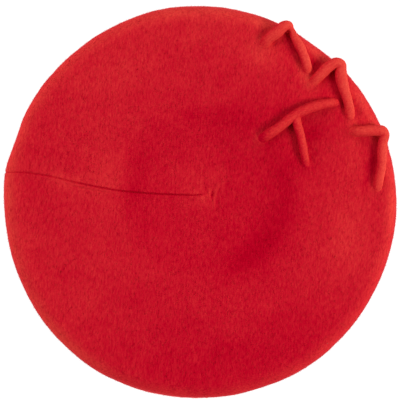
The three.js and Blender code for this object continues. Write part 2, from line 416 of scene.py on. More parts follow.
# ---- The crown's form ----
@dataclass(frozen=True)
class Dent:
    """A soft hollow, swell, fold or patch of painted light and shade. turn is its long direction, in
    degrees from +X.
    """

    name: str
    x: float
    y: float
    rise: float
    along: float
    across: float
    turn: float = 0.0

    def height(self, x: Array, y: Array) -> Array:
        """Work out how far it lifts the felt, or how much it changes its shade.

        Args:
            x: Plan positions.
            y: Plan positions.

        Returns:
            Its share of the rise at each position.
        """
        turn = math.radians(self.turn)
        along = (x - self.x) * math.cos(turn) + (y - self.y) * math.sin(turn)
        across = (y - self.y) * math.cos(turn) - (x - self.x) * math.sin(turn)
        return self.rise * bell(along, self.along) * bell(across, self.across)


@dataclass(frozen=True)
class Arc:
    """A stretch of painted shade and light along a ring round a point of the top. angle is its middle,
    in degrees from +X.
    """

    name: str
    radius: float
    angle: float
    rise: float
    across: float
    spread: float
    x: float = 0.0
    y: float = 0.0

    def height(self, x: Array, y: Array) -> Array:
        """Work out how much it changes the felt's shade.

        Args:
            x: Plan positions.
            y: Plan positions.

        Returns:
            Its share of the rise at each position.
        """
        out = np.hypot(x - self.x, y - self.y) - self.radius
        turn = np.degrees(np.arctan2(y - self.y, x - self.x))
        return self.rise * bell(out, self.across) * bell(turn_between(self.angle, turn), self.spread)


@dataclass(frozen=True)
class Swell:
    """A stretch of the rim outside or inside its circle. Angles are in degrees from +X."""

    angle: float
    out: float
    spread: float

    def at(self, angle: Array) -> Array:
        """Return how far it moves the rim outwards at other angles."""
        return self.out * bell(turn_between(self.angle, angle), self.spread)


# Forms of the top, in millimetres: x, y, rise, along, across, turn.
DENTS = (
    Dent("right of the dish", 44, -12, -1.4, 34, 15, 75),
    Dent("left of the dish", -46, 22, -0.9, 26, 9, 95),
    Dent("under the seam's end", -116, 14, -1.3, 14, 6, -8),
    Dent("beside the leg", 84, 50, -1.4, 14, 9, 100),
    Dent("right swell", 88, -20, 0.9, 30, 12, 80),
    Dent("lower swell", 30, -82, 0.8, 32, 11, 15),
    Dent("upper swell", 8, 92, 0.8, 18, 10, 100),
)
PLEATS = (
    Dent("gather's pit", 8.6, 5.2, -0.9, 2.6, 1.0, 85),
    Dent("pleat left of the pit", 6.6, 6.6, 0.6, 3.2, 0.9, 92),
    Dent("groove left of that pleat", 4.6, 8.6, -0.5, 3.4, 0.9, 100),
    Dent("end of the seam", 2.8, 3.4, 0.5, 2.2, 1.1, 10),
    Dent("pleat right of the pit", 11.2, 6.0, 0.5, 4.0, 1.0, 80),
    Dent("groove beyond it", 13.4, 7.4, -0.45, 4.5, 1.1, 70),
    Dent("crease up to the right", 13.6, 12.0, 0.4, 4.5, 1.3, 52),
    Dent("hollow up to the right", 18.8, 12.6, -0.5, 3.2, 1.4, 60),
    Dent("pleat below", 9.8, -0.6, 0.35, 4.0, 1.2, 95),
    Dent("groove below", 12.2, -1.6, -0.35, 4.5, 1.2, 84),
)
# Patches of painted shade and painted light: shadows beside and under the cords, and the shading of
# slopes.
# Each rise is a share of the way from the deep dye to the light one.
SHADES = (
    Dent("bright round the gather", 3, 4, 0.20, 11, 9),
    Dent("brushed past the gather", -6, 17, 0.12, 22, 13),
    Dent("upper wall of the dish", 31, 60, -0.15, 30, 14),
    Dent("felt above the bar", 60, 66, -0.10, 14, 9, 35),
    Dent("felt beyond the leg", 72, 38, -0.18, 16, 13, 90),
    Dent("felt between the bar and the leg", 79, 49, -0.22, 9, 6),
    Dent("felt below the bar's foot", 53, 41, -0.08, 7, 6),
    Dent("felt at the bar's foot", 41.5, 46, 0.34, 5, 6),
    Dent("felt left of the leg", 67.5, 42, 0.15, 12, 4, 101),
    Dent("felt inside the front loop", 109, 36, 0.18, 12, 7, 85),
    Dent("under the back loop's fold", 63, 115, -0.35, 7, 3, -62),
    Dent("under the middle loop's fold", 94, 88, -0.45, 6, 3.4, -66),
    Dent("left of the middle loop", 99, 73, -0.15, 9, 3, -70),
    Dent("left of the front loop", 122, 28, -0.34, 16, 3.2, 76),
    Dent("between the back and middle loops", 79.8, 97.2, -0.3, 3.2, 3.2, -40),
    Dent("felt below the back loop", 77, 86, 0.42, 8, 4.5, -65),
    Dent("felt left of the back loop's foot", 70.5, 94.5, 0.18, 8, 4, -62),
    Dent("felt below the middle loop", 108, 56, 0.30, 5, 4, -80),
    Dent("felt below the front loop", 124, 11, 0.24, 6, 4, 80),
    Dent("right swell", 106, -19, 0.20, 30, 17, 90),
    Dent("near end of the right swell", 92, -38, 0.08, 16, 14),
    Dent("brushed top left", -58, 94, 0.14, 40, 22, 30),
    Dent("brushed left", -68, 22, 0.17, 24, 13, 90),
    Dent("brushed near left", -90, -62, 0.07, 36, 30),
    Dent("felt at the back loop's foot", 44, 107, 0.32, 13, 12),
    Dent("brushed top", 10, 122, 0.14, 24, 12),
    Dent("low front", 20, -118, -0.18, 85, 40),
    Dent("low right", 71, -86, -0.07, 22, 18),
    Dent("below the dish", -42, -66, -0.08, 26, 12),
    Dent("under the seam's end", -118, 12, -0.08, 10, 7),
    Dent("felt along the seam", -96, 16, 0.22, 17, 6, -14),
    Dent("felt near the seam's bend", -57, 12, 0.12, 9, 7),
    Dent("patch near left", -95, -52, -0.12, 11, 8),
)
# Painted shade on the walls of the dish.
# Each row: radius, middle angle, rise, spread across, spread along in degrees, and its centre.
ARCS = (
    Arc("right wall of the dish", 58, -12, -0.20, 13, 42, 4, 8),
    Arc("lower right wall of the dish", 56, -54, -0.20, 16, 26, 4, 8),
    Arc("left wall of the dish", 51, 176, -0.12, 8, 26, 4, 8),
)
# Painted light round the rim: the felt is lighter towards its edge, as its fuzz catches the light.
PAINTED_RIM_LIGHT = (
    Arc("left of the rim", 138, 178, 0.52, 6, 34),
    Arc("low left of the rim", 130, 188, 0.12, 8, 12),
    Arc("far left of the rim", 137, 130, 0.30, 6, 30),
    Arc("far side of the rim", 137, 88, 0.46, 6.5, 28),
    Arc("far right of the rim", 138, 50, 0.08, 5, 14),
    Arc("between the back and middle loops", 134.5, 51, 0.46, 3.2, 6),
    Arc("beyond the middle loop", 136, 33.5, 0.30, 4.5, 5),
    Arc("before the back loop", 135, 71, 0.25, 5, 5),
    Arc("beyond the front loop", 136, 27, 0.16, 6, 8),
    Arc("right of the rim", 137.5, 2, 0.52, 5.5, 26),
    Arc("near right of the rim", 137, 312, 0.30, 6, 26),
    Arc("near left of the rim", 138, 228, 0.50, 5, 22),
    Arc("near side of the rim", 137, 274, 0.26, 5, 24),
)
# Each row: middle angle, millimetres outwards, spread in degrees.
RIM_SWELLS = (
    Swell(40, -0.3, 7),
    Swell(53, -1.7, 9),
    Swell(78, -0.5, 8),
    Swell(101, 0.8, 10),
    Swell(161, -1.1, 6),
    Swell(172, 1.1, 6),
    Swell(187, -0.8, 6),
    Swell(232, 0.9, 17),
    Swell(254, 0.5, 7),
    Swell(282, -0.6, 15),
    Swell(332, -0.5, 6),
    Swell(356, 0.6, 6),
)


@dataclass(frozen=True)
class CrownForm:
    """The sizes of the crown and its shape as functions of radius, angle and plan position."""

    rim_radius: float = 140.0
    wall: float = 2.4
    crest_height: float = 31.5
    gather: tuple[float, float] = (8.3, 6.4)
    dish_depth: float = 4.6
    dish_floor: float = 24.0
    dish_edge: float = 68.0
    shoulder_drop: float = 0.8
    shoulder_start: float = 84.0
    shoulder_end: float = 124.0
    pucker_depth: float = 1.2
    pucker_spread: float = 5.0
    roll_width: float = 10.0
    edge_height: float = 14.5
    mouth_radius: float = 78.0
    seam_angle: float = 171.3
    seam_blend: float = 26.0
    seam_radii: tuple[float, ...] = (0, 10, 25, 45, 65, 80, 95, 110, 125, 140)
    seam_shifts: tuple[float, ...] = (0, -2.9, -4.6, -6.2, -6.6, -5.3, -3.4, -0.6, 0.8, 0)
    seam_margin: float = 12.0
    seam_softness: float = 5.0
    seam_straight: float = 8.0
    drape_radius: float = 130.0
    undo_steps: int = 6

    @property
    def roll_start(self) -> float:
        """Return the section radius where the rim's roll begins."""
        return self.rim_radius - self.roll_width

    def section_height(self, radius: Array) -> Array:
        """Work out the outer face's height before the dents.

        Args:
            radius: Section radii.

        Returns:
            The height at each radius.
        """
        dish = self.dish_depth * (1 - smooth(self.dish_floor, self.dish_edge, radius))
        shoulder = self.shoulder_drop * smooth(self.shoulder_start, self.shoulder_end, radius)
        pucker = self.pucker_depth * bell(radius, self.pucker_spread)
        return self.crest_height - dish - shoulder - pucker

    def dent_height(self, x: Array, y: Array) -> Array:
        """Return how far the broad dents lift the top at plan positions."""
        return sum(dent.height(x, y) for dent in DENTS)

    def seam_shift(self, radius: Array) -> Array:
        """Work out how far the seam leaves its straight line, on a smoothed table.

        Args:
            radius: Section radii.

        Returns:
            The shift at each radius.
        """
        margin = self.seam_margin
        fine = np.arange(-margin, self.rim_radius + margin + 1)
        line = np.interp(fine, self.seam_radii, self.seam_shifts)
        weights = bell(np.arange(-margin, margin + 1), self.seam_softness)
        softened = np.convolve(line, weights / weights.sum(), mode="same")
        return np.interp(radius, fine, softened) * smooth(0.0, self.seam_straight, radius)

    def drift_share(self, radius: Array) -> Array:
        """Return how far a ring moves from the rim's centre, 0, to the gathered centre, 1."""
        return 1 - np.minimum(radius / self.rim_radius, 1.0) ** 2

    def plan(self, radius: Array, angle: Array, top_share: Array) -> tuple[Array, Array]:
        """Place points of the section in plan.

        Args:
            radius: Section radii.
            angle: Angles in degrees from +X.
            top_share: 1 on the top, 0 underneath, and between round the rim.

        Returns:
            The x and y positions.
        """
        out = sum(swell.at(angle) for swell in RIM_SWELLS)
        reach = radius + out * smooth(self.mouth_radius, self.roll_start, radius)
        drift = top_share * self.drift_share(radius)
        nearness = bell(turn_between(self.seam_angle, angle), self.seam_blend)
        bow = top_share * self.seam_shift(radius) * nearness
        turn = np.radians(angle)
        return (
            reach * np.cos(turn) + self.gather[0] * drift,
            reach * np.sin(turn) + self.gather[1] * drift + bow,
        )

    def section_radius(self, x: Array, y: Array) -> Array:
        """Work out the section radius under plan positions, by undoing the drift of the rings.

        Args:
            x: Plan positions.
            y: Plan positions.

        Returns:
            The section radius at each position.
        """
        radius = np.hypot(x, y)
        for _ in range(self.undo_steps):
            drift = self.drift_share(radius)
            radius = np.hypot(x - self.gather[0] * drift, y - self.gather[1] * drift)
        return radius

    def drape_height(self, x: Array, y: Array) -> Array:
        """Return the felt's height under a cord. Over the rim's roll it stays level."""
        radius = np.minimum(self.section_radius(x, y), self.drape_radius)
        return self.section_height(radius) + self.dent_height(x, y)


@dataclass(frozen=True)
class FeltRelief:
    """Uneven felt as a sum of seeded waves that run in every direction."""

    seed: int
    shortest: float
    longest: float
    height: float
    waves: int = 56

    def at(self, points: Array) -> Array:
        """Return the height of the relief at points.

        Args:
            points: Points in millimetres, with the three coordinates last.

        Returns:
            One height for each point.
        """
        rng = np.random.default_rng(self.seed)
        directions = unit(rng.normal(size=(self.waves, 3)))
        lengths = np.exp(rng.uniform(math.log(self.shortest), math.log(self.longest), self.waves))
        phases = rng.uniform(0, 2 * math.pi, self.waves)
        total = np.zeros(points.shape[:-1])
        for direction, length, phase in zip(directions, lengths, phases):
            total += np.cos(points @ (direction * 2 * math.pi / length) + phase)
        return self.height * total / math.sqrt(self.waves / 2)


@dataclass
class Skin:
    """A closed skin over rings of points, with one more point before the first and after the last."""

    rings: Array
    first: Array
    last: Array

    def normals(self) -> Array:
        """Work out the outward directions.

        Returns:
            A direction at each point of the rings.
        """
        sides = self.rings.shape[1]
        before = np.repeat(self.first[None, None, :], sides, axis=1)
        after = np.repeat(self.last[None, None, :], sides, axis=1)
        padded = np.concatenate([before, self.rings, after])
        across = padded[2:] - padded[:-2]
        round_it = np.roll(self.rings, -1, axis=1) - np.roll(self.rings, 1, axis=1)
        return unit(np.cross(across, round_it))

    def pushed(self, amount: Array) -> "Skin":
        """Return the skin with its rings moved along their normals."""
        return Skin(self.rings + self.normals() * amount[..., None], self.first, self.last)

    def moved(self, shift: Array) -> "Skin":
        """Return the skin in another place."""
        return Skin(self.rings + shift, self.first + shift, self.last + shift)

    def points(self) -> Array:
        """Return the points in the order that the faces use."""
        return np.vstack([self.first, self.rings.reshape(-1, 3), self.last])

    def faces(self) -> list[list[int]]:
        """Join the points with four-sided faces between rings and three-sided ones at both ends.

        Returns:
            The point numbers of each face.
        """
        rings, sides = self.rings.shape[:2]
        step = np.arange(sides)
        following = (step + 1) % sides
        starts = 1 + sides * np.arange(rings - 1)[:, None]
        corners = [starts + step, starts + sides + step, starts + sides + following, starts + following]
        quads = np.stack(corners, axis=-1)
        final = 1 + sides * (rings - 1)
        end = np.full(sides, 1 + sides * rings)
        opening = np.column_stack([np.zeros(sides, int), 1 + step, 1 + following])
        closing = np.column_stack([final + step, end, final + following])
        return quads.reshape(-1, 4).tolist() + opening.tolist() + closing.tolist()


# ---- Felt cords ----
REST = 3.2  # the middle line's lift where a cord rests on the felt
SUNK = -5.4  # and where it has gone into it


@dataclass
class FeltCord:
    """One felt cord that leaves the crown's felt, lies over it, and goes back in.

    Each row of its route is a point of its middle line: x, y, its lift above the felt and its radius.
    """

    name: str
    form: CrownForm
    route: tuple[Row, ...]
    seed: int
    sides: int = 30
    step: float = 0.7
    swelling: tuple[float, float, float, int] = (9.0, 22.0, 0.09, 24)
    unevenness: tuple[float, float, float] = (2.2, 7.0, 0.06)
    sunk_lifts: tuple[float, float] = (0.6, -1.6)
    sunk_bias: float = 6.0
    cover_reach: float = 12.0
    cover_rise: float = 0.2
    cover_fall: float = 0.45
    cover_softness: float = 1.0
    body_shade: float = 0.05
    foot_shade: float = -0.1
    foot_lifts: tuple[float, float] = (2.4, -1.0)
    # Painted light on the cord's side towards the key light, and its strength.
    painted_light_side: tuple[float, float, float] = (0.76, 0.15, 0.63)
    painted_light_share: float = 0.6

    def middle_line(self) -> Array:
        """Lay the cord's middle line over the felt.

        Returns:
            Its points in even steps, with the cord's radius in a fourth column.
        """
        rows = np.array(self.route, float)
        height = self.form.drape_height(rows[:, 0], rows[:, 1]) + rows[:, 2]
        return curve_through(np.column_stack([rows[:, :2], height, rows[:, 3]]), self.step)

    def lift(self, line: Array) -> Array:
        """Return how far each point of the middle line lies above the felt."""
        return line[:, 2] - self.form.drape_height(line[:, 0], line[:, 1])

    def skin(self) -> Skin:
        """Form the cord round its middle line, uneven as rolled and felted wool is.

        Returns:
            The cord's skin.
        """
        line, radius = np.split(self.middle_line(), [3], axis=1)
        forward = unit(np.gradient(line, axis=0))
        sideways = unit(np.cross(forward, np.array([0.0, 0.0, 1.0])))
        upward = np.cross(sideways, forward)
        turns = np.linspace(0, 2 * math.pi, self.sides, endpoint=False)[None, :, None]
        spokes = sideways[:, None] * np.cos(turns) + upward[:, None] * np.sin(turns)
        swelling = FeltRelief(self.seed, *self.swelling).at(line)[:, None, None]
        rings = line[:, None] + spokes * (radius[:, None] + swelling)
        bare = Skin(rings, line[0] - forward[0], line[-1] + forward[-1])
        return bare.pushed(FeltRelief(self.seed + 1, *self.unevenness).at(rings))

    def cover(self, x: Array, y: Array, felt: Array) -> Array:
        """Raise the felt over the sunk ends of this cord.

        Args:
            x: Plan positions of the felt.
            y: Plan positions of the felt.
            felt: The felt's height there.

        Returns:
            The new heights.
        """
        line = self.middle_line()
        sunk = smooth(*self.sunk_lifts, self.lift(line))
        raised = felt.copy()
        low, high = line.min(axis=0) - self.cover_reach, line.max(axis=0) + self.cover_reach
        near = (x > low[0]) & (x < high[0]) & (y > low[1]) & (y < high[1])
        half = len(line) // 2
        for part in (slice(None, half), slice(half, None)):
            end, share = line[part], sunk[part]
            distance = np.hypot(x[near][:, None] - end[:, 0], y[near][:, None] - end[:, 1])
            top = end[:, 2] + end[:, 3] + self.cover_rise - distance**2 * self.cover_fall / end[:, 3]
            best = np.argmax(top - self.sunk_bias * (1 - share), axis=1)
            over = np.take_along_axis(top, best[:, None], axis=1)[:, 0]
            softness = self.cover_softness
            highest = np.maximum(raised[near], over)
            joined = highest + softness * np.log(
                np.exp((raised[near] - highest) / softness) + np.exp((over - highest) / softness)
            )
            raised[near] += (joined - raised[near]) * share[best]
        return raised

    def shade(self, skin: Skin) -> Array:
        """Work out the shade: painted light on the side towards the key light, and deeper sunk ends.

        Args:
            skin: The cord's skin.

        Returns:
            The shade of each point of the rings.
        """
        foot = self.foot_shade * smooth(*self.foot_lifts, self.lift(self.middle_line()))
        # Painted light: lighter where the skin faces up and right, towards the key light.
        combed = skin.normals() @ np.array(self.painted_light_side)
        return self.body_shade + foot[:, None] + self.painted_light_share * combed

    def build(self, shift: Array, material: bpy.types.Material) -> tuple[bpy.types.Object, Skin]:
        """Make the cord's mesh, which stands for the solid of the same name.

        Args:
            shift: How far the form moves to lie in the frame.
            material: The cord's finish.

        Returns:
            The object and its skin in the frame's place.
        """
        placed = self.skin().moved(shift)
        made = mesh_object(f"{self.name}_felt", placed.points(), placed.faces(), material)
        store_painted_light_and_tone(made, self.shade(placed))
        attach(made, "root")
        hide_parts(self.name)
        return made, placed


# The cords that lie inside the loops are a little deeper in colour.
INNER_SHADES = {"body_shade": -0.24, "foot_shade": -0.32}
# Each row: x, y, lift of the middle line above the felt, radius.
CORD_ROUTES = {
    "edge_loop_back": (
        (39.5, 107.2, SUNK, 3.4), (45.8, 112.3, -0.4, 3.8), (49.1, 116.1, 2.2, 3.8),
        (54.6, 120.2, 3.4, 4.0), (59.3, 124.4, 3.6, 3.7), (62.3, 125.1, 2.4, 3.3),
        (64.2, 122.0, 0.0, 2.7), (67.5, 115.5, 2.0, 2.9), (70.6, 109.8, REST, 3.3),
        (73.5, 103.2, 3.1, 3.3), (75.3, 97.2, 1.6, 3.3), (76.4, 92.2, -2.0, 3.4),
        (77.1, 88.2, SUNK, 3.4),
    ),
    "edge_loop_middle": (
        (75.2, 79.2, SUNK, 3.4), (80.3, 85.1, -0.4, 3.6), (84.2, 89.3, 2.3, 3.7),
        (90.7, 95.5, 3.4, 3.9), (96.0, 98.5, 3.6, 3.9), (99.6, 97.2, 3.0, 3.7),
        (99.4, 92.5, 2.0, 4.2), (100.2, 86.0, 2.5, 4.1), (102.0, 79.0, 3.3, 3.7),
        (104.2, 72.0, 3.0, 3.5), (105.8, 65.0, 1.2, 3.4), (106.3, 59.0, -1.8, 3.4),
        (106.3, 54.8, SUNK, 3.4),
    ),
    "edge_loop_front": (
        (101.0, 49.6, SUNK, 3.5), (107.5, 49.9, -0.4, 3.6), (111.8, 50.1, 2.2, 3.6),
        (117.0, 50.4, REST, 3.6), (123.5, 50.7, 3.5, 3.8), (128.4, 50.5, 3.6, 3.7),
        (130.6, 48.2, 3.0, 3.2), (129.3, 43.0, 2.3, 3.5), (128.6, 36.0, 2.5, 3.3),
        (128.4, 28.5, 2.8, 3.2), (127.4, 21.0, 2.3, 3.3), (126.2, 14.5, 1.2, 3.3),
        (125.2, 9.0, -1.4, 3.3), (124.4, 4.5, SUNK, 3.2),
    ),
    "inner_bar": (
        (37.6, 40.6, SUNK, 3.3), (43.8, 45.0, -0.5, 3.4), (48.9, 48.4, 1.8, 3.5),
        (56.6, 53.6, REST, 3.6), (63.5, 59.2, REST, 3.6), (70.8, 63.7, REST, 3.8),
        (78.0, 66.8, REST, 3.7), (85.0, 68.9, 3.1, 3.5), (91.5, 70.1, 2.2, 3.2),
        (96.2, 70.5, -0.6, 3.1), (101.0, 70.6, SUNK, 3.1),
    ),
    "inner_leg": (
        (67.2, 62.3, 3.0, 3.3), (68.6, 55.2, 3.0, 3.2), (70.8, 48.0, REST, 2.9),
        (72.3, 40.8, 3.1, 2.9), (73.6, 33.6, 2.2, 2.9), (74.7, 27.8, 0.0, 2.9),
        (76.0, 19.8, SUNK, 2.9),
    ),
}


# ---- The crown ----
@dataclass(frozen=True)
class Ridge:
    """A line beside the seam that is raised or sunk. offset is its distance from the seam."""

    rise: float
    offset: float
    spread: float

    def at(self, distance: Array) -> Array:
        """Return its height at distances from the seam."""
        return self.rise * bell(distance - self.offset, self.spread)


@dataclass
class Crown:
    """The felt shell: over the top, round the rim, under to the head opening, and back inside."""

    form: CrownForm
    cords: list[FeltCord]
    sides: int = 384
    seam_reach: float = 6.0
    seam_turn: float = 0.55
    seam_steps: tuple[float, ...] = (
        0.0, 0.15, 0.3, 0.45, 0.65, 0.9, 1.2, 1.5, 1.8, 2.1, 2.4, 2.8, 3.1, 3.4, 3.8, 4.4, 5.2, 6.0,
    )
    fine_sector: tuple[float, float] = (-8.0, 82.0)
    fine_density: float = 1.5
    fine_blend: float = 10.0
    turn_samples: int = 721
    top_step: float = 0.95
    gather_start: float = 0.5
    gather_step: float = 0.45
    gather_reach: float = 20.0
    roll_gap: float = 0.3
    roll_rings: int = 30
    underside_rings: int = 13
    mouth_rings: int = 5
    mouth_turn: float = 60.0
    floor_rings: int = 8
    inner_roll_rings: int = 12
    ceiling_rings: int = 19
    ceiling_end: float = 2.5
    dish_shade: float = -0.10
    dish_middle: tuple[float, float] = (4.0, 8.0)
    dish_edge: tuple[float, float] = (54.0, 66.0)
    # How much of the painted rim light stays on the rim's wall.
    painted_rim_light_on_wall: float = 0.4
    # Painted light on the pleats' crests and painted shade in their grooves.
    pleat_shade: float = 0.38
    seam_start: tuple[float, float] = (5.0, 9.0)
    seam_on_rim: float = 0.7
    seam_underneath: float = 0.4
    # Painted shade along the seam's groove, which fades towards the rim.
    seam_shade: float = -0.5
    seam_line: float = 0.55
    seam_fade: float = 0.6
    seam_fade_radii: tuple[float, float] = (86.0, 102.0)
    groove: Ridge = Ridge(-0.75, 0.0, 0.5)
    lips: Ridge = Ridge(0.14, 1.4, 0.8)
    welt: Ridge = Ridge(0.32, 1.8, 0.8)
    crease: Ridge = Ridge(-0.3, 3.1, 0.5)
    welt_start: tuple[float, float] = (62.0, 74.0)
    welt_end: tuple[float, float] = (92.0, 102.0)
    uneven: FeltRelief = FeltRelief(11, 5.0, 13.0, 0.05)
    wavy: FeltRelief = FeltRelief(12, 22.0, 60.0, 0.16)
    shade: Array = field(init=False)

    def sections(self) -> Array:
        """Lay out the crown's section from the gathered centre round to the inside of the top.

        Returns:
            Four rows: the radius, height, top share and seam share of each ring.
        """
        form, wall = self.form, self.form.wall
        lip, mouth = wall / 2, form.mouth_radius + wall / 2
        rings: list[Row] = []
        near = np.arange(self.gather_start, self.gather_reach, self.gather_step)
        far = np.arange(near[-1] + self.top_step, form.roll_start - self.roll_gap, self.top_step)
        for radius in np.concatenate([near, far]):
            seam_share = float(smooth(*self.seam_start, radius))
            rings.append((radius, form.section_height(radius), 1.0, seam_share))
        rings += self._roll(np.linspace(90, -90, self.roll_rings), 0.0, 1.0)
        for radius in np.linspace(form.roll_start, mouth, self.underside_rings)[1:]:
            rings.append((radius, 0.0, 0.0, self.seam_underneath))
        for turn in np.radians(np.linspace(-self.mouth_turn, self.mouth_turn, self.mouth_rings)):
            inward, up = lip * (1 - math.cos(turn)), lip * (1 + math.sin(turn))
            rings.append((form.mouth_radius + inward, up, 0.0, 0.0))
        for radius in np.linspace(mouth, form.roll_start, self.floor_rings)[:-1]:
            rings.append((radius, wall, 0.0, 0.0))
        rings += self._roll(np.linspace(-90, 90, self.inner_roll_rings), wall, 0.0)
        for radius in np.linspace(form.roll_start, self.ceiling_end, self.ceiling_rings)[1:]:
            rings.append((radius, form.section_height(radius) - wall, 1.0, 0.0))
        return np.array(rings).T

    def _roll(self, angles: Array, inset: float, seam_share: float) -> list[Row]:
        """Lay out the rim's roll.

        Args:
            angles: The turn of each ring from the roll's widest place, in degrees.
            inset: How far the roll lies inside the outer face.
            seam_share: The seam's share at the top of the roll.

        Returns:
            The radius, height, top share and seam share of each ring.
        """
        form = self.form
        top = float(form.section_height(form.roll_start)) - inset
        rings = []
        for turn in np.radians(angles):
            up = math.sin(turn)
            radius = form.roll_start + (form.roll_width - inset) * math.cos(turn)
            half = top - form.edge_height if turn > 0 else form.edge_height - inset
            seam = seam_share * (self.seam_on_rim + (1 - self.seam_on_rim) * up)
            rings.append((radius, form.edge_height + up * half, max(up, 0.0), seam))
        return rings

    def meridians(self, radius: Array) -> Array:
        """Lay out each ring's points, close together at the seam and closer than usual under the cords.

        Args:
            radius: The section radius of each ring.

        Returns:
            Turns from the seam in radians, one row for each ring.
        """
        steps = np.array(self.seam_steps)
        strip = np.concatenate([-steps[:0:-1], steps]) / self.seam_reach
        edge = np.minimum(self.seam_reach / radius, self.seam_turn)[:, None]
        turn = np.linspace(0, 360, self.turn_samples)
        low, high = (np.array(self.fine_sector) - self.form.seam_angle) % 360
        blend = self.fine_blend
        sector = smooth(low - blend, low, turn) * (1 - smooth(high, high + blend, turn))
        filled = np.concatenate([[0], np.cumsum(1 + self.fine_density * sector)[:-1]])
        others = self.sides - len(strip)
        share = np.interp(np.linspace(0, 1, others + 2)[1:-1], filled / filled[-1], turn / 360)
        return np.concatenate([strip * edge, edge + (2 * math.pi - 2 * edge) * share], axis=1)

    def seam_relief(self, offset: Array, radius: Array) -> Array:
        """Form the seam's groove, its soft lips and the narrow welt beside its middle stretch.

        Args:
            offset: Distances from the seam.
            radius: Section radii.

        Returns:
            How far the felt stands out at each point.
        """
        beside = smooth(*self.welt_start, radius) * (1 - smooth(*self.welt_end, radius))
        lips = self.lips.at(np.abs(offset))
        return self.groove.at(offset) + lips + beside * (self.welt.at(offset) + self.crease.at(offset))

    def top_shade(self, x: Array, y: Array, pleats: Array) -> Array:
        """Paint the top's shade and light: a darker dish, the pleats, and the patches.

        Args:
            x: Plan positions.
            y: Plan positions.
            pleats: How far the pleats lift the felt at each position.

        Returns:
            The shade at each position.
        """
        out = np.hypot(x - self.dish_middle[0], y - self.dish_middle[1])
        dish = self.dish_shade * (1 - smooth(*self.dish_edge, out))
        return dish + self.pleat_shade * pleats + sum(patch.height(x, y) for patch in SHADES + ARCS)

    def skin(self) -> Skin:
        """Form the crown over its cords' sunk ends and keep the painted shade and light of each point.

        Returns:
            The crown's whole skin.
        """
        form = self.form
        radius, height, top_share, seam_share = (column[:, None] for column in self.sections())
        turn = self.meridians(radius[:, 0])
        x, y = form.plan(radius, form.seam_angle + np.degrees(turn), top_share)
        pleats = sum(pleat.height(x, y) for pleat in PLEATS)
        z = height + top_share * (form.dent_height(x, y) + pleats)
        outer = np.argmax(top_share[:, 0] == 0)
        for cord in self.cords:
            z[:outer] = cord.cover(x[:outer], y[:outer], z[:outer])
        rings = np.stack([x, y, z], axis=-1)
        gathered = np.array([*form.gather, form.section_height(0.0) + form.dent_height(*form.gather)])
        offset = np.where(turn > math.pi, turn - 2 * math.pi, turn) * radius
        relief = self.uneven.at(rings) + self.wavy.at(rings)
        relief += seam_share * self.seam_relief(offset, radius)
        pushed = Skin(rings, gathered, gathered - np.array([0.0, 0.0, form.wall])).pushed(relief)
        pushed.rings[..., 2] = np.maximum(pushed.rings[..., 2], 0.0)
        # Painted shade along the seam's groove, fading towards the rim.
        kept = 1 - self.seam_fade * smooth(*self.seam_fade_radii, radius)
        line = seam_share * kept * self.seam_shade * bell(offset, self.seam_line)
        # Painted light round the rim, weaker down its wall.
        on_rim = self.painted_rim_light_on_wall + (1 - self.painted_rim_light_on_wall) * top_share
        rim = on_rim * sum(arc.height(x, y) for arc in PAINTED_RIM_LIGHT)
        self.shade = top_share * self.top_shade(x, y, pleats) + rim + line
        return pushed

    def build(self, material: bpy.types.Material) -> tuple[bpy.types.Object, Skin, Array]:
        """Make the crown's mesh over the middle of its solid, for which it stands.

        Args:
            material: The crown's finish.

        Returns:
            The object, its skin in the frame's place, and how far the form moved to get there.
        """
        skin = self.skin()
        low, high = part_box("crown")
        middle = np.array((low + high) / 2) / MM
        plan = skin.rings[..., :2].reshape(-1, 2)
        own = (plan.min(axis=0) + plan.max(axis=0)) / 2
        shift = np.array([middle[0] - own[0], middle[1] - own[1], 0.0])
        placed = skin.moved(shift)
        made = mesh_object("crown_felt", placed.points(), placed.faces(), material)
        store_painted_light_and_tone(made, self.shade)
        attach(made, "root")
        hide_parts("crown")
        return made, placed, shift


# ---- Fibres ----
# The corners of one fibre: 0 to 2 at its foot, 3 to 5 at its knee and 6 at its tip.
FIBRE_FACES = (
    (2, 1, 0), (0, 1, 4), (0, 4, 3), (1, 2, 5), (1, 5, 4),
    (2, 0, 3), (2, 3, 5), (3, 4, 6), (4, 5, 6), (5, 3, 6),
)
SPOKES = (90, 210, 330)


class Zone(Enum):
    """Where a coat of fibres stands."""

    TOP = "top"
    RIM = "rim"
    CORDS = "cords"


